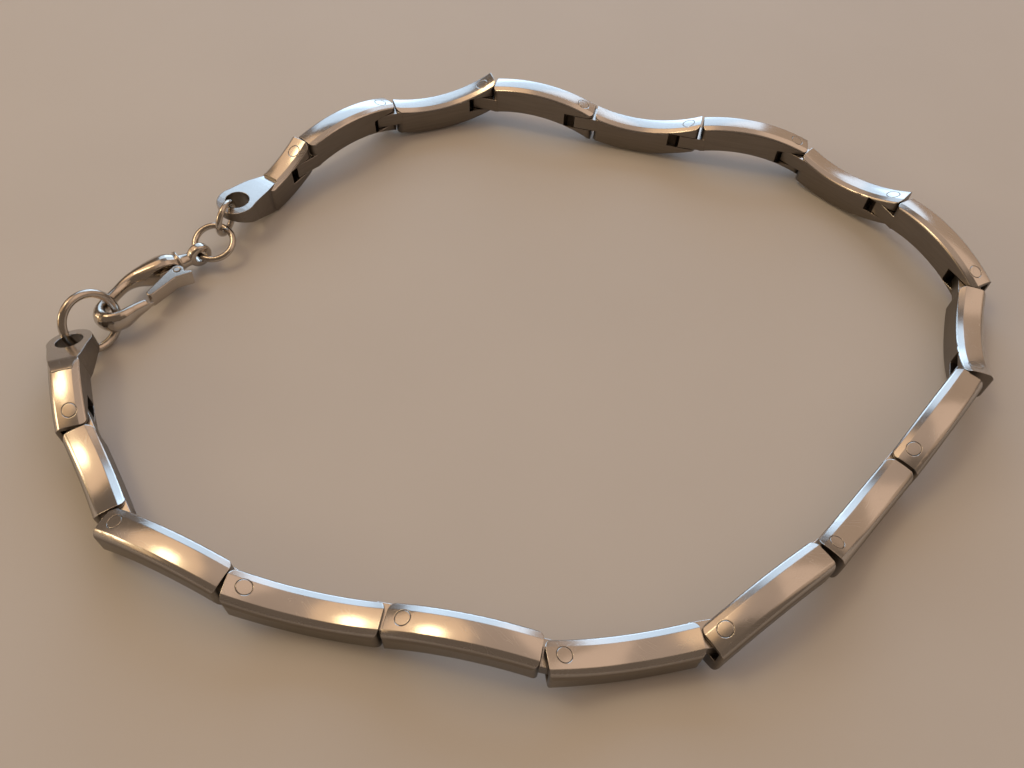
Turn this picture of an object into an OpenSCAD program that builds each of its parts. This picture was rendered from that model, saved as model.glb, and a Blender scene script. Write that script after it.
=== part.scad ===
// A titanium bracelet of waved bar links on upright pins, closed by a spring clasp.
// It lies on its edge as one loop, with its lower waves resting at z = 0.

/* [Band links] */
// From pin to pin along one link
link_pitch = 10.4; // [10:0.1:10.8]
// Width of the band, which stands upright here
band_height = 2.8; // [2.7:0.05:3]
// Pin line to the face that lies against the arm
inner_depth = 1.05; // [1:0.05:1.1]
// Pin line to the face that shows on the arm
outer_depth = 1.35; // [1.3:0.05:1.45]
// Rise of a link between its pins
link_bow = 0.95; // [0.85:0.05:1.05]
// Rounding of the edges of the outer face
outer_edge_r = 0.8; // [0.6:0.05:0.9]
// Width of the bevel along the edges of the inner face
bevel_width = 0.6; // [0.5:0.05:0.7]
// Fall of that bevel towards the inner face
bevel_fall = 0.22; // [0.15:0.01:0.25]
// Rounding between that bevel and the inner face
inner_edge_r = 0.2; // [0.15:0.05:0.3]

/* [Hinges] */
// Hinge pin
pin_d = 1; // [0.9:0.05:1.1]
// Height of the slot in a fork
slot_height = 1.4; // [1.35:0.05:1.5]
// Height of the tongue that goes into it
tongue_height = 1.26; // [1.1:0.02:1.28]
// How far a fork reaches past its pin
fork_reach = 1.15; // [1:0.05:1.15]
// How far the shoulder of the next link stays from the pin
shoulder_setback = 1.4; // [1.4:0.05:1.5]

/* [Eye links] */
// From the pin to where the eye plate begins
eye_bar_length = 4; // [3.8:0.1:4.2]
// From the pin to the middle of the eye
eye_reach = 7.35; // [7.2:0.05:7.5]
// Width of the eye plate
eye_width = 3.4; // [3.2:0.1:3.5]
// Width of the eye hole
eye_hole = 2.1; // [1.9:0.05:2.2]

/* [Rings and clasp] */
// Middle line radius of the large ring
large_ring_r = 2.27; // [2.26:0.01:2.28]
// Wire of the large ring
large_wire_d = 0.7; // [0.6:0.02:0.72]
// Middle line radius of the middle ring
middle_ring_r = 1.64; // [1.62:0.01:1.66]
// Wire of the middle ring
middle_wire_d = 0.54; // [0.5:0.02:0.56]
// Middle line radius of the small ring
small_ring_r = 1.42; // [1.4:0.01:1.45]
// Wire of the small ring
small_wire_d = 0.54; // [0.5:0.02:0.56]
// Height of the clasp's lever
lever_height = 1.3; // [1.2:0.05:1.4]
// Rivet on which the lever turns
rivet_d = 0.5; // [0.4:0.05:0.5]

/* [Hidden] */
$fn = 64;
arc_steps = 12;
half_band = band_height / 2;
// gentle doming of the upper and lower faces
crown_r = 6;
// plan rounding of a link's ends at the inner face, and at the outer face of its fork and shoulder
inner_corner_r = 0.6;
fork_corner_r = 0.25;
shoulder_corner_r = 0.5;
// wall that closes a fork towards the outer face
fork_wall = 0.45;
// room behind the tongue in a fork
slot_depth = 1.65;
// the eye plate flares out of the bar around its start, and its straight sides end at the tip
eye_flare = 0.8;
eye_flare_from = 1.4;
eye_flare_to = 2.4;
eye_tip = eye_reach + 0.1;
// the upper face bends down before the plate, about a middle below the wave, and slopes on to the eye
eye_bend_lead = 0.9;
eye_bend_drop = 2.28;
eye_bend_r = 3.6;
eye_slope = 25.5;
// the underside leaves the bar before the plate, and is gently domed as far as this height past the eye
eye_under_lead = 0.7;
eye_under_drop = 1.42;
eye_underside = -0.96;
eye_dome_turn = 9;
tongue_end_r = 0.8;
bore_clearance = 0.03;
// the lowest part of a link is worn flat by this much
worn_land = 0.03;
joint_z = half_band + link_bow - worn_land;

// each link is one arc of a wave, which its neighbour carries on
wave_r = (link_pitch * link_pitch / 4 + link_bow * link_bow) / (2 * link_bow);
wave_angle = asin(link_pitch / 2 / wave_r);
end_margin = 9;

// plan heading of each link, in order around the loop
headings = [48, 21, -13, -12, -9, -42, -61, -105, -130, -132, -142, -168, -190, -188, -203, -235];
link_count = len(headings);
loop_start = [-23.26, 16.75];
start_eye_heading = 239;
end_eye_heading = 110;

function joint(n) =
    n == 0 ? loop_start
    : joint(n - 1) + link_pitch * [cos(headings[n - 1]), sin(headings[n - 1])];

// clasp frame's middle line, from the hook's tip to the neck, with the half sizes of its oval section
along = 0;
across = 1;
ball_r = 2;
half_width = 2;
half_height = 3;
frame_line = [
    [4.52, -1.96, 0.10, 0.12],
    [4.36, -1.94, 0.24, 0.30],
    [3.90, -1.90, 0.38, 0.48],
    [3.40, -1.92, 0.44, 0.58],
    [2.80, -1.98, 0.49, 0.70],
    [2.20, -2.10, 0.55, 0.82],
    [1.48, -2.18, 0.58, 0.92],
    [0.70, -1.86, 0.63, 0.94],
    [0.36, -1.04, 0.62, 0.84],
    [0.80, -0.18, 0.51, 0.70],
    [1.86, 0.38, 0.48, 0.60],
    [2.80, 0.82, 0.48, 0.56],
    [3.70, 1.16, 0.56, 0.62],
    [4.60, 1.24, 0.74, 0.76],
    [5.60, 1.06, 1.04, 1.00],
    [6.60, 0.84, 1.26, 1.18],
    [7.40, 0.76, 1.22, 1.14],
    [8.00, 0.66, 0.96, 0.92],
    [8.50, 0.60, 0.68, 0.66],
    [9.30, 0.52, 0.56, 0.54],
];
line_steps = 3;
frame_sides = 20;
clasp_place = [-36.46, -2.05, 2.03];
clasp_lean = 3.9;
clasp_heading = 46.5;
// places in the clasp's own plan
clasp_eye = [10.15, 0.46];
clasp_eye_r = 1.06;
clasp_eye_hole_r = 0.52;
lever_pivot = [7.5, -0.62];
// along, across and rounding at both ends of the lever, its thumb tab and the lug it turns on
lever_root = [7.5, -0.62, 0.56];
lever_tip = [4.5, -1.56, 0.28];
lug_start = [6.9, 0.35, 0.6];
lug_end = [7.5, -0.62, 0.38];
tab_root = [7.1, -0.98, 0.36];
tab_tip = [8.2, -1.45, 0.18];
lug_height = 0.6;
lever_slot_height = 0.7;
lever_slot_floor = -1.06;
hook_end = 4.16;

titanium = [0.62, 0.61, 0.6];
bright_titanium = [0.74, 0.73, 0.71];

// Section of the band: first axis up, second axis from the outer to the inner face.
module band_section() {
    lean = atan(bevel_fall / bevel_width);
    inner_round = [
        half_band - bevel_fall - inner_edge_r * (1 / cos(lean) - tan(lean)),
        inner_depth - inner_edge_r
    ];
    upper_half = [
        [half_band - outer_edge_r, -outer_depth],
        [half_band, outer_edge_r - outer_depth],
        [half_band, inner_depth - bevel_width],
        inner_round + inner_edge_r * [cos(lean), sin(lean)],
        inner_round + [0, inner_edge_r]
    ];
    lower_half = [for (n = [len(upper_half) - 1 : -1 : 0]) [-upper_half[n].x, upper_half[n].y]];
    intersection() {
        union() {
            polygon(concat(upper_half, lower_half));
            for (side = [-1, 1]) {
                translate([side * (half_band - outer_edge_r), outer_edge_r - outer_depth])
                    circle(outer_edge_r);
                translate([side * inner_round.x, inner_round.y])
                    circle(inner_edge_r);
            }
        }
        translate([half_band - crown_r, 0])
            circle(crown_r);
        translate([crown_r - half_band, 0])
            circle(crown_r);
    }
}

// The band swept along one rise of the wave, longer than a link at both ends.
module wave() {
    reach = wave_angle + end_margin;
    translate([link_pitch / 2, 0, link_bow - wave_r])
        rotate([90, 0, 0])
            rotate([0, 0, 90 - reach])
                rotate_extrude(angle = 2 * reach)
                    translate([wave_r, 0])
                        band_section();
}

// Plan of a bar's end at the origin, towards +x, with both its corners round.
module end_plan(outer_corner_r) {
    depth = inner_depth + outer_depth - inner_corner_r;
    translate([0, inner_corner_r - inner_depth]) {
        square([2 * inner_corner_r, depth - outer_corner_r]);
        translate([outer_corner_r, 0])
            square([inner_corner_r, depth]);
        translate([inner_corner_r, 0])
            circle(inner_corner_r);
        translate([outer_corner_r, depth - outer_corner_r])
            circle(outer_corner_r);
    }
}

// Plan of a bar from one place on the pin line to another.
module bar_plan(from, to, from_corner_r, to_corner_r) {
    translate([from + inner_corner_r, -inner_depth])
        square([to - from - 2 * inner_corner_r, inner_depth + outer_depth]);
    translate([from, 0])
        end_plan(from_corner_r);
    translate([to, 0])
        mirror([1, 0])
            end_plan(to_corner_r);
}

module upright(height) {
    translate([0, 0, -height / 2])
        linear_extrude(height)
            children();
}

module bar(from, to, from_corner_r, to_corner_r) {
    intersection() {
        wave();
        upright(3 * band_height)
            bar_plan(from, to, from_corner_r, to_corner_r);
    }
}

// Tongue on the pin at the origin, its root towards +x.
module tongue() {
    flush = inner_depth - 0.02;
    upright(tongue_height) {
        circle(tongue_end_r);
        translate([0, -flush])
            square([shoulder_setback + 0.6, flush + tongue_end_r]);
        translate([0.2 - tongue_end_r, -flush])
            square([tongue_end_r, flush]);
    }
}

// Slot of a fork on the pin at the origin, open towards -x and the inner face.
module fork_slot() {
    upright(slot_height)
        translate([-2 * slot_depth, -2 * inner_depth])
            square([3 * slot_depth, 2 * inner_depth + outer_depth - fork_wall]);
}

module pin_bore() {
    upright(3 * band_height)
        circle(d = pin_d + 2 * bore_clearance);
}

// Link that rises between its pins, with its tongue at the origin and its fork ahead.
module rising_link() {
    difference() {
        union() {
            bar(shoulder_setback, link_pitch + fork_reach, shoulder_corner_r, fork_corner_r);
            tongue();
        }
        translate([link_pitch, 0, 0])
            mirror([1, 0, 0])
                fork_slot();
        pin_bore();
        translate([link_pitch, 0, 0])
            pin_bore();
    }
}

// Last link, with a tongue at both ends.
module rising_double_tongue() {
    difference() {
        union() {
            bar(shoulder_setback, link_pitch - shoulder_setback, shoulder_corner_r, shoulder_corner_r);
            tongue();
            translate([link_pitch, 0, 0])
                mirror([1, 0, 0])
                    tongue();
        }
        pin_bore();
        translate([link_pitch, 0, 0])
            pin_bore();
    }
}

// Plan of the eye plate, which widens out of the bar and ends round.
module eye_plan() {
    half = eye_width / 2;
    polygon([
        [eye_bar_length - eye_flare, -eye_flare_from / 2],
        [eye_bar_length + eye_flare, -eye_flare_to / 2],
        [eye_tip, -0.99 * half],
        [eye_tip, 0.99 * half],
        [eye_bar_length + eye_flare, eye_flare_to / 2],
        [eye_bar_length - eye_flare, eye_flare_from / 2]
    ]);
    translate([eye_tip, 0])
        circle(half);
}

// Shallow arc between two places, which turns evenly to both sides of the straight line.
function dome_line(from, to) =
    let (
        half_chord = norm(to - from) / 2,
        r = half_chord / sin(eye_dome_turn),
        aside = [to.y - from.y, from.x - to.x] / (2 * half_chord),
        middle = (from + to) / 2 + aside * r * cos(eye_dome_turn),
        start = atan2(from.y - middle.y, from.x - middle.x)
    )
    arc(middle, r, start, start - 2 * eye_dome_turn);

// Side view of an eye link: level over the fork, then bent down to a flat eye.
module eye_side() {
    above = 4;
    below = -3;
    bend = [eye_bar_length - eye_bend_lead, link_bow - eye_bend_drop];
    reach = eye_tip + 2;
    slope_start = bend + eye_bend_r * [sin(eye_slope), cos(eye_slope)];
    polygon(concat(
        [[below, above], [bend.x - 0.9, above]],
        arc(bend, eye_bend_r, 90, 90 - eye_slope),
        [[reach, slope_start.y - (reach - slope_start.x) * tan(eye_slope)]],
        dome_line([reach, eye_underside], [eye_bar_length - eye_under_lead, link_bow - eye_under_drop]),
        [[eye_bar_length - eye_under_lead - 1, below], [below, below]]
    ));
}

// Eye link with its pin at the origin, its fork behind and its eye ahead.
module rising_eye_link() {
    middle = (outer_depth - inner_depth) / 2;
    difference() {
        intersection() {
            union() {
                bar(-fork_reach, eye_bar_length + 0.5, fork_corner_r, fork_corner_r);
                upright(3 * band_height)
                    translate([0, middle])
                        eye_plan();
            }
            rotate([90, 0, 0])
                upright(2 * eye_width)
                    eye_side();
        }
        fork_slot();
        pin_bore();
        upright(3 * band_height)
            translate([eye_reach, middle])
                circle(d = eye_hole);
    }
}

module on_joint(n, heading) {
    place = joint(n);
    translate([place.x, place.y, joint_z])
        rotate([0, 0, heading])
            children();
}

// Links with what would reach below the table worn away.
module worn() {
    table = 120;
    difference() {
        children();
        translate([-table / 2, -table / 2, -2])
            cube([table, table, 2]);
    }
}

// Link n of the loop: odd ones rise, even ones sag.
module loop_link(n) {
    worn()
        on_joint(n - 1, headings[n - 1])
            mirror([0, 0, n % 2 == 0 ? 1 : 0])
                if (n == link_count)
                    rising_double_tongue();
                else
                    rising_link();
}

module start_eye_place() {
    on_joint(0, start_eye_heading)
        rotate([180, 0, 0])
            children();
}

module end_eye_place() {
    on_joint(link_count, end_eye_heading)
        children();
}

// Pin ground flush with the faces of the fork that holds it.
module flush_pin(at) {
    intersection() {
        wave();
        upright(3 * band_height)
            translate([at, 0])
                circle(d = pin_d);
    }
}

module loop_pin(n) {
    color(bright_titanium)
        if (n == 0)
            start_eye_place()
                flush_pin(0);
        else if (n == link_count)
            end_eye_place()
                flush_pin(0);
        else
            on_joint(n - 1, headings[n - 1])
                mirror([0, 0, n % 2 == 0 ? 1 : 0])
                    flush_pin(link_pitch);
}

// Ring of round wire about a middle, standing square to the given direction.
module wire_ring(middle, facing, ring_r, wire_d) {
    translate(middle)
        rotate([0, acos(facing.z / norm(facing)), atan2(facing.y, facing.x)])
            rotate_extrude()
                translate([ring_r, 0])
                    circle(d = wire_d, $fn = 32);
}

// Place between two rows of the frame's middle line, on a smooth curve through all of them.
function line_row(n) = frame_line[max(0, min(len(frame_line) - 1, n))];
function line_at(step) =
    let (
        n = min(floor(step / line_steps), len(frame_line) - 2),
        t = step / line_steps - n,
        before = line_row(n - 1),
        from = line_row(n),
        to = line_row(n + 1),
        after = line_row(n + 2)
    )
    from + 0.5 * t * (to - before + t * (2 * before - 5 * from + 4 * to - after
        + t * (3 * (from - to) + after - before)));

// The frame's bar, as one skin of oval rings along its middle line.
module frame_bar() {
    last = (len(frame_line) - 1) * line_steps;
    rings = [
        for (step = [0 : last])
            let (
                here = line_at(step),
                ahead = line_at(min(last, step + 0.5)) - line_at(max(0, step - 0.5)),
                way = atan2(ahead[across], ahead[along])
            )
            [
                for (n = [0 : frame_sides - 1])
                    let (turn = 360 * n / frame_sides, aside = here[half_width] * cos(turn))
                    [
                        here[along] - aside * sin(way),
                        here[across] + aside * cos(way),
                        here[half_height] * sin(turn)
                    ]
            ]
    ];
    polyhedron(
        points = [for (ring = rings) each ring],
        faces = [
            [for (n = [0 : frame_sides - 1]) n],
            for (step = [1 : last], n = [0 : frame_sides - 1])
                let (
                    next = (n + 1) % frame_sides,
                    back = (step - 1) * frame_sides,
                    front = step * frame_sides
                )
                each [[back + n, front + n, front + next], [back + n, front + next, back + next]],
            [for (n = [frame_sides - 1 : -1 : 0]) last * frame_sides + n]
        ]
    );
}

function arc(middle, r, from, to) =
    [for (n = [0 : arc_steps]) let (turn = from + (to - from) * n / arc_steps)
        middle + r * [cos(turn), sin(turn)]];

// Outline of two circles and their outer tangents.
function taper_outline(a, b) =
    let (
        span = norm([b[along] - a[along], b[across] - a[across]]),
        way = atan2(b[across] - a[across], b[along] - a[along]),
        spread = acos((a[ball_r] - b[ball_r]) / span)
    )
    concat(
        arc([b[along], b[across]], b[ball_r], way - spread, way + spread),
        arc([a[along], a[across]], a[ball_r], way + spread, way + 360 - spread)
    );

module clasp_place() {
    translate(clasp_place)
        rotate([0, clasp_lean, clasp_heading])
            children();
}

module clasp_eye_band() {
    band_half = 0.42;
    edge = 0.24;
    translate([clasp_eye.x, clasp_eye.y, 0])
        rotate([90, 0, 0])
            rotate_extrude() {
                translate([clasp_eye_hole_r, edge - band_half])
                    square([clasp_eye_r - clasp_eye_hole_r, 2 * (band_half - edge)]);
                translate([clasp_eye_hole_r, -band_half])
                    square([clasp_eye_r - clasp_eye_hole_r - edge, 2 * band_half]);
                for (side = [-1, 1])
                    translate([clasp_eye_r - edge, side * (band_half - edge)])
                        circle(edge, $fn = 32);
            }
}

// Room in which the lever swings, drawn about its rivet.
module lever_room(height) {
    upright(height)
        translate(lever_pivot) {
            circle(lever_root[ball_r] + 0.1);
            polygon([[0.2, -1.2], [-3.6, -1.55], [-3.7, 1.03], [0, 0.64]]);
        }
}

module rivet_bore() {
    upright(6)
        translate(lever_pivot)
            circle(d = rivet_d + 2 * bore_clearance);
}

module clasp_body_shape() {
    difference() {
        union() {
            difference() {
                frame_bar();
                lever_room(3);
                // seat of the lever's tip
                upright(4)
                    translate([hook_end, -1.84])
                        square([1, 1.2]);
            }
            // lug that goes into the lever's slot
            upright(lug_height)
                polygon(taper_outline(lug_start, lug_end));
            // collar before the eye
            translate([8.15, 0.64, 0])
                rotate([0, 90, -7])
                    cylinder(r = 1.06, h = 0.22);
            clasp_eye_band();
        }
        // hole of the eye
        translate([clasp_eye.x, clasp_eye.y, 0])
            rotate([90, 0, 0])
                upright(3)
                    circle(clasp_eye_hole_r);
        rivet_bore();
    }
}

module eye_link_start() color(titanium) start_eye_place() rising_eye_link();
module eye_link_end() color(titanium) end_eye_place() rising_eye_link();
module link_01() color(titanium) loop_link(1);
module link_02() color(titanium) loop_link(2);
module link_03() color(titanium) loop_link(3);
module link_04() color(titanium) loop_link(4);
module link_05() color(titanium) loop_link(5);
module link_06() color(titanium) loop_link(6);
module link_07() color(titanium) loop_link(7);
module link_08() color(titanium) loop_link(8);
module link_09() color(titanium) loop_link(9);
module link_10() color(titanium) loop_link(10);
module link_11() color(titanium) loop_link(11);
module link_12() color(titanium) loop_link(12);
module link_13() color(titanium) loop_link(13);
module link_14() color(titanium) loop_link(14);
module link_15() color(titanium) loop_link(15);
module link_16() color(titanium) loop_link(16);

module large_ring()
    color(bright_titanium)
        wire_ring([-35.946, -3.239, 2.468], [-0.809, 0.44, -0.39], large_ring_r, large_wire_d);

module middle_ring()
    color(bright_titanium)
        wire_ring([-28.732, 6.797, 1.722], [0.013, -0.294, 0.956], middle_ring_r, middle_wire_d);

module small_ring()
    color(bright_titanium)
        wire_ring([-27.96, 8.944, 2.583], [0.967, -0.211, -0.146], small_ring_r, small_wire_d);

module clasp_frame()
    color(bright_titanium)
        clasp_place()
            clasp_body_shape();

module clasp_lever()
    color(bright_titanium)
        clasp_place()
            difference() {
                upright(lever_height) {
                    polygon(taper_outline(lever_tip, lever_root));
                    // thumb tab
                    polygon(taper_outline(tab_root, tab_tip));
                }
                // slot over the frame's lug
                upright(lever_slot_height)
                    translate([5.9, lever_slot_floor])
                        square([2.3, 2]);
                rivet_bore();
            }

module clasp_rivet()
    color(bright_titanium)
        clasp_place()
            upright(lever_height + 0.1)
                translate(lever_pivot)
                    circle(d = rivet_d);

eye_link_start();
link_01();
link_02();
link_03();
link_04();
link_05();
link_06();
link_07();
link_08();
link_09();
link_10();
link_11();
link_12();
link_13();
link_14();
link_15();
link_16();
eye_link_end();
loop_pin(0);  // pin_00
loop_pin(1);  // pin_01
loop_pin(2);  // pin_02
loop_pin(3);  // pin_03
loop_pin(4);  // pin_04
loop_pin(5);  // pin_05
loop_pin(6);  // pin_06
loop_pin(7);  // pin_07
loop_pin(8);  // pin_08
loop_pin(9);  // pin_09
loop_pin(10);  // pin_10
loop_pin(11);  // pin_11
loop_pin(12);  // pin_12
loop_pin(13);  // pin_13
loop_pin(14);  // pin_14
loop_pin(15);  // pin_15
loop_pin(16);  // pin_16
large_ring();
middle_ring();
small_ring();
clasp_frame();
clasp_lever();
clasp_rivet();
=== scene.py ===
import math

import bpy
from mathutils import Matrix, Vector

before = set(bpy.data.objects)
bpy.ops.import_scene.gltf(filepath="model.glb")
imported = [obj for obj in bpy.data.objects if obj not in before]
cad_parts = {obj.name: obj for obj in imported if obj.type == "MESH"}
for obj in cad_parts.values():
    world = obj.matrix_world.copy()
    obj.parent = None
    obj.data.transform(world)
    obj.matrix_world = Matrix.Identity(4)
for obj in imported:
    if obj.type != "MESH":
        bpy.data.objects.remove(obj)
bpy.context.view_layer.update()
MM = 0.001

# The camera looks down on the lying bracelet from the side where the band runs near.
# Its place is in millimetres, and its tilt is counted from looking straight down.
CAMERA_PLACE = (-2.06, -44.85, 56.27)
CAMERA_TILT = math.radians(35.0)
CAMERA_ROLL = math.radians(2.98)
FOCAL_PIXELS = 850
PICTURE_WIDTH = 1024
SENSOR_WIDTH = 36
# Nearest and farthest distance that the camera sees, in metres
NEAREST_SEEN = 0.005
FARTHEST_SEEN = 10


def add_camera():
    data = bpy.data.cameras.new("camera")
    data.sensor_fit = "HORIZONTAL"
    data.sensor_width = SENSOR_WIDTH
    data.lens = SENSOR_WIDTH * FOCAL_PIXELS / PICTURE_WIDTH
    data.clip_start = NEAREST_SEEN
    data.clip_end = FARTHEST_SEEN
    camera = bpy.data.objects.new("camera", data)
    camera.matrix_world = (
        Matrix.Translation(Vector(CAMERA_PLACE) * MM)
        @ Matrix.Rotation(CAMERA_TILT, 4, "X")
        @ Matrix.Rotation(CAMERA_ROLL, 4, "Z")
    )
    bpy.context.collection.objects.link(camera)
    bpy.context.scene.camera = camera


class Signal:
    """A socket of one material's nodes, with the operators that its expressions use."""

    def __init__(self, material, socket):
        self.material = material
        self.socket = socket

    def maths(self, operation, *others):
        return self.material.node("Math", dict(operation=operation), self, *others)

    def __add__(self, other):
        return self.maths("ADD", other)

    __radd__ = __add__

    def __sub__(self, other):
        return self.maths("SUBTRACT", other)

    def __rsub__(self, other):
        return self.material.node("Math", dict(operation="SUBTRACT"), other, self)

    def __mul__(self, other):
        return self.maths("MULTIPLY", other)

    __rmul__ = __mul__

    def at_least(self, other):
        return self.maths("MAXIMUM", other)


class Material:
    """A node material whose nodes are added one at a time by their type."""

    def __init__(self, name):
        self.data = bpy.data.materials.new(name)
        self.data.use_nodes = True
        self.nodes = self.data.node_tree.nodes
        self.links = self.data.node_tree.links
        self.surface = self.nodes["Principled BSDF"]

    def node(self, kind, settings=None, *values, output=0, **named):
        """Adds a node; named values go to the sockets that have these identifiers."""
        made = self.nodes.new("ShaderNode" + kind)
        for name, setting in (settings or {}).items():
            if name == "stops":
                self.set_stops(made.color_ramp, setting)
            else:
                setattr(made, name, setting)
        for place, value in enumerate(values):
            self.feed(made.inputs[place], value)
        for socket in made.inputs:
            if socket.identifier in named:
                self.feed(socket, named[socket.identifier])
        return Signal(self, made.outputs[output])

    def feed(self, socket, value):
        if isinstance(value, Signal):
            self.links.new(value.socket, socket)
        else:
            socket.default_value = value

    def set_stops(self, ramp, stops):
        while len(ramp.elements) < len(stops):
            ramp.elements.new(0.5)
        for element, (place, shade) in zip(ramp.elements, stops):
            element.position = place
            element.color = (shade, shade, shade, 1)

    def ramp(self, signal, *stops):
        return self.node("ValToRGB", dict(stops=stops), signal)

    def blend(self, amount, first, second):
        return self.node(
            "Mix", dict(data_type="RGBA"), amount, output=2, A_Color=first, B_Color=second
        )

    def finish(self, **sockets):
        for name, value in sockets.items():
            self.feed(self.surface.inputs[name.replace("_", " ")], value)
        return self.data


# Radius in millimetres to which the materials round the look of every edge
EDGE_ROUNDING = 0.09
# Depth in millimetres of the fine relief on the metal
RELIEF_DEPTH = 0.01
# How many rays find out how an edge is rounded
ROUNDING_RAYS = 6
# How fast a hairline scratch changes along its run, where across it the rate is 1
HAIRLINE_DRAW = 0.12


class TitaniumSkin(Material):
    """Titanium finish laid in millimetres along and across one link's own length."""

    def __init__(self, name, heading):
        super().__init__(name)
        place = self.node("TexCoord", output=3)
        turn = math.radians(heading)
        self.along = self.measure(place, (math.cos(turn), math.sin(turn), 0))
        self.across = self.measure(place, (-math.sin(turn), math.cos(turn), 0))
        self.height = self.measure(place, (0, 0, 1))

    def dot(self, first, second):
        return self.node("VectorMath", dict(operation="DOT_PRODUCT"), first, second, output=1)

    def measure(self, place, way):
        """How far a place lies in a direction, in millimetres."""
        return self.dot(place, tuple(part / MM for part in way))

    def facing_up(self):
        """How far the surface faces up or down: 1 on a level face, 0 on an upright one."""
        normal = self.node("TexCoord", output=1)
        return self.dot(normal, (0, 0, 1)).maths("ABSOLUTE")

    def noise(self, along, across, height, detail):
        where = self.node("CombineXYZ", None, along, across, height)
        return self.node("TexNoise", dict(noise_dimensions="3D"), where, Scale=1.0, Detail=detail)

    def grain(self, scale, stretch=1.0, detail=3.0, seed=0.0):
        """Noise whose marks are drawn out along the link by the stretch."""
        along = self.along * (scale / stretch) + seed
        return self.noise(along, self.across * scale, self.height * scale, detail)

    def hairlines(self, angle, spacing, seed):
        """Thin scratches that run at an angle to the link, here and there."""
        turn = math.radians(angle)
        run = self.along * math.cos(turn) + self.across * math.sin(turn)
        side = self.across * math.cos(turn) - self.along * math.sin(turn)
        marks = self.noise(
            run * (HAIRLINE_DRAW / spacing), side * (1 / spacing), self.height * (1 / spacing),
            detail=1.0,
        )
        # a line runs where the noise passes through its middle value
        line = self.ramp(marks, (0.0, 0), (0.485, 0), (0.5, 1), (0.515, 0))
        patch = self.ramp(self.grain(0.35, detail=1.0, seed=seed), (0.5, 0), (0.62, 1))
        return line * patch

    def rounded_relief(self, relief, strength):
        """Fine relief on a surface whose edges look rounded."""
        rounded = self.node("Bevel", dict(samples=ROUNDING_RAYS), Radius=EDGE_ROUNDING * MM)
        return self.node(
            "Bump", None,
            Strength=strength, Distance=RELIEF_DEPTH * MM, Height=relief, Normal=rounded,
        )


# Titanium on the band's level faces, on its brushed upright ones and on the clasp and rings. The
# upright ones' two colours are painted far darker than the polish as painted shade, the dark
# reflection those faces catch; the brushed grain between the two is real.
DEEP_POLISH = (0.53, 0.505, 0.48, 1)
RUBBED_POLISH = (0.62, 0.595, 0.57, 1)
SHADED_SATIN_GROOVE = (0.17, 0.155, 0.14, 1)
SHADED_SATIN_RIDGE = (0.26, 0.235, 0.21, 1)
HAZED_TITANIUM = (0.46, 0.42, 0.38, 1)
CLEAR_TITANIUM = (0.60, 0.56, 0.51, 1)


def satin_titanium(name, heading):
    """Polished edges and upper faces, with a brushed satin on the upright faces whose colour is
    painted darker as painted shade.
    """
    skin = TitaniumSkin(name, heading)
    upright = skin.ramp(skin.facing_up(), (0.35, 1), (0.7, 0))
    brushing = skin.grain(7.0, stretch=24.0)
    rubbing = skin.grain(0.4, stretch=1.6, seed=7.0)
    shallow = skin.hairlines(angle=24, spacing=0.4, seed=3.0)
    steep = skin.hairlines(angle=-38, spacing=0.55, seed=9.0)
    scratches = shallow.at_least(steep)
    polished = skin.blend(rubbing, DEEP_POLISH, RUBBED_POLISH)
    # painted shade: the upright faces are coloured much darker than the level ones by how they
    # face, with a real brushed grain laid through that dark colour
    shaded_satin = skin.blend(brushing, SHADED_SATIN_GROOVE, SHADED_SATIN_RIDGE)
    polish_roughness = 0.15 + rubbing * 0.08 + scratches * 0.10
    satin_roughness = 0.14 + brushing * 0.08
    relief = brushing * (0.2 + upright * 0.8) + scratches * 0.15
    return skin.finish(
        # the upright mask swaps the polish for the painted-shade satin colour
        Base_Color=skin.blend(upright, polished, shaded_satin),
        Metallic=1.0,
        Roughness=polish_roughness + upright * satin_roughness,
        Normal=skin.rounded_relief(relief, strength=0.07),
    )


def bright_titanium(name, heading):
    """The tumbled shine of the clasp and the rings, with a light haze and fine scratches."""
    skin = TitaniumSkin(name, heading)
    haze = skin.grain(0.9, detail=4.0)
    shallow = skin.hairlines(angle=12, spacing=0.3, seed=1.0)
    steep = skin.hairlines(angle=-60, spacing=0.4, seed=5.0)
    scratches = shallow.at_least(steep)
    return skin.finish(
        Base_Color=skin.blend(haze, HAZED_TITANIUM, CLEAR_TITANIUM),
        Metallic=1.0,
        Roughness=0.11 + haze * 0.08 + scratches * 0.08,
        Normal=skin.rounded_relief(scratches, strength=0.05),
    )


# Plan headings in degrees of the pieces that don't run from pin to pin
START_EYE_HEADING = 239
END_EYE_HEADING = 110
CLASP_HEADING = 46.5


def middle(node):
    """The middle of a piece's box."""
    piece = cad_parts[node]
    corners = [piece.matrix_world @ Vector(corner) for corner in piece.bound_box]
    return sum(corners, Vector()) / len(corners)


def link_heading(number):
    """The whole degrees of a link's plan heading, from its first pin to its second."""
    run = middle("pin_%02d" % number) - middle("pin_%02d" % (number - 1))
    return round(math.degrees(math.atan2(run.y, run.x)))


def wear(node, material):
    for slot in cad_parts[node].material_slots:
        slot.material = material


def dress_band():
    """Dresses the links, and each pin in the finish of the link before it."""
    wear("eye_link_start", satin_titanium("satin_eye_link_start", START_EYE_HEADING))
    wear("eye_link_end", satin_titanium("satin_eye_link_end", END_EYE_HEADING))
    wear("pin_00", satin_titanium("satin_pin_00", START_EYE_HEADING))
    links = sorted(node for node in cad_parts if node.startswith("link_"))
    for number, link in enumerate(links, 1):
        skin = satin_titanium("satin_" + link, link_heading(number))
        wear(link, skin)
        wear("pin_%02d" % number, skin)


# Mesh size of a cast piece's new skin, in millimetres, and how often it is tumbled
CASTINGS = {"clasp_frame": (0.045, 6), "clasp_lever": (0.035, 4)}
# Points closer than this, in millimetres, are welded before the new skin is laid
WELD_REACH = 0.0005
TUMBLE_STRENGTH = 0.5


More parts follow.
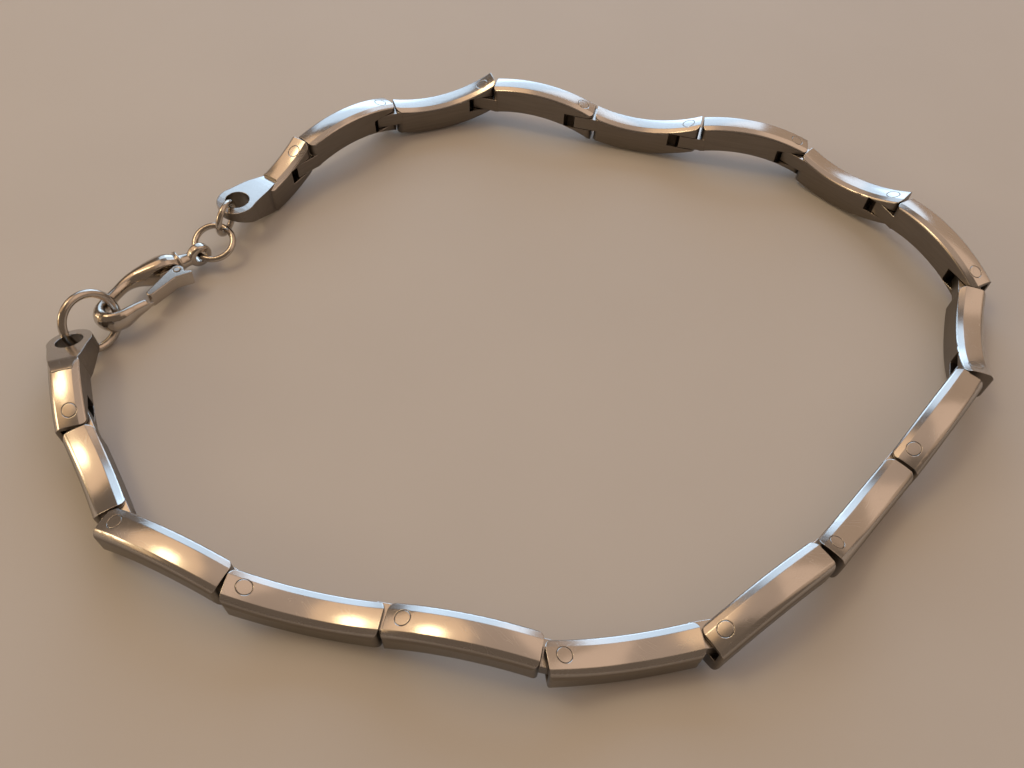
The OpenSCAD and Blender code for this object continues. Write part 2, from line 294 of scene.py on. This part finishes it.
def smooth_casting(node, grain, rounds):
    """Skins a cast piece afresh with a fine grain, and tumbles its edges smooth."""
    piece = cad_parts[node]
    weld = piece.modifiers.new("weld", "WELD")
    weld.merge_threshold = WELD_REACH * MM
    skin = piece.modifiers.new("skin", "REMESH")
    skin.mode = "VOXEL"
    skin.voxel_size = grain * MM
    skin.use_smooth_shade = True
    tumble = piece.modifiers.new("tumble", "SMOOTH")
    tumble.factor = TUMBLE_STRENGTH
    tumble.iterations = rounds


def dress_clasp_and_rings():
    polish = bright_titanium("bright_titanium", CLASP_HEADING)
    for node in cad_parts:
        if node.startswith("clasp_") or node.endswith("_ring"):
            wear(node, polish)
    for node, (grain, rounds) in CASTINGS.items():
        smooth_casting(node, grain, rounds)


# Half the floor's side, in metres, and its two tones
FLOOR_HALF = 1.2
FLOOR_SHADE = (0.61, 0.605, 0.605, 1)
FLOOR_LIGHT = (0.66, 0.655, 0.655, 1)


def lay_floor():
    pale = Material("pale_floor")
    place = pale.node("TexCoord", output=3)
    mottle = pale.node("TexNoise", None, place, Scale=60.0, Detail=5.0)
    pale.finish(Base_Color=pale.blend(mottle, FLOOR_SHADE, FLOOR_LIGHT), Roughness=0.75)
    mesh = bpy.data.meshes.new("floor")
    sides = ((-1, -1), (1, -1), (1, 1), (-1, 1))
    mesh.from_pydata([(FLOOR_HALF * x, FLOOR_HALF * y, 0) for x, y in sides], [], [(0, 1, 2, 3)])
    mesh.materials.append(pale.data)
    floor = bpy.data.objects.new("floor", mesh)
    bpy.context.collection.objects.link(floor)


# Distance in metres from the bracelet to every light
LIGHT_REACH = 0.6
# Name and shape of each light, its bearing and climb as the bracelet sees it and the angles
# that it spans across and up, all in degrees, then its glow and its colour
STUDIO_LIGHTS = (
    ("cool_window", "RECTANGLE", 92, 24, (50, 40), 1.5, (0.56, 0.77, 1.0)),
    ("window_foot", "RECTANGLE", 92, 12, (34, 20), 1.6, (0.54, 0.77, 1.0)),
    ("warm_ceiling", "RECTANGLE", 85, 76, (136, 40), 0.38, (1.0, 0.73, 0.56)),
    ("gold_lamp", "ELLIPSE", 165, 60, (14, 14), 4.0, (1.0, 0.80, 0.46)),
    ("gold_shade", "ELLIPSE", 162, 58, (50, 46), 0.5, (1.0, 0.60, 0.28)),
    ("low_gold_lamp", "ELLIPSE", 187, 18, (13, 15), 3.6, (1.0, 0.84, 0.54)),
    ("low_gold_shade", "ELLIPSE", 190, 20, (44, 34), 0.6, (1.0, 0.64, 0.32)),
    ("warm_wall", "RECTANGLE", 25, 38, (84, 60), 0.36, (1.0, 0.68, 0.46)),
)
BACKDROP_COLOUR = (0.60, 0.44, 0.32, 1)
BACKDROP_GLOW = 0.30


def panel_side(angle):
    """The side of a panel that spans an angle as the bracelet sees it."""
    return 2 * LIGHT_REACH * math.tan(math.radians(angle) / 2)


def hang_light(name, shape, bearing, climb, spread, glow, colour):
    """A soft panel that faces the bracelet, with the same brightness whatever its size."""
    side, up = math.radians(bearing), math.radians(climb)
    toward = Vector((math.cos(up) * math.cos(side), math.cos(up) * math.sin(side), math.sin(up)))
    data = bpy.data.lights.new(name, "AREA")
    data.shape = shape
    data.size, data.size_y = (panel_side(angle) for angle in spread)
    data.energy = glow * math.pi * data.size * data.size_y
    data.color = colour
    light = bpy.data.objects.new(name, data)
    light.location = toward * LIGHT_REACH
    light.rotation_euler = toward.to_track_quat("Z", "Y").to_euler()
    light.visible_camera = False
    bpy.context.collection.objects.link(light)


def light_studio():
    for light in STUDIO_LIGHTS:
        hang_light(*light)
    world = bpy.data.worlds.new("studio")
    world.use_nodes = True
    backdrop = world.node_tree.nodes["Background"]
    backdrop.inputs["Color"].default_value = BACKDROP_COLOUR
    backdrop.inputs["Strength"].default_value = BACKDROP_GLOW
    bpy.context.scene.world = world
    bpy.context.scene.view_settings.view_transform = "Standard"


add_camera()
dress_band()
dress_clasp_and_rings()
lay_floor()
light_studio()
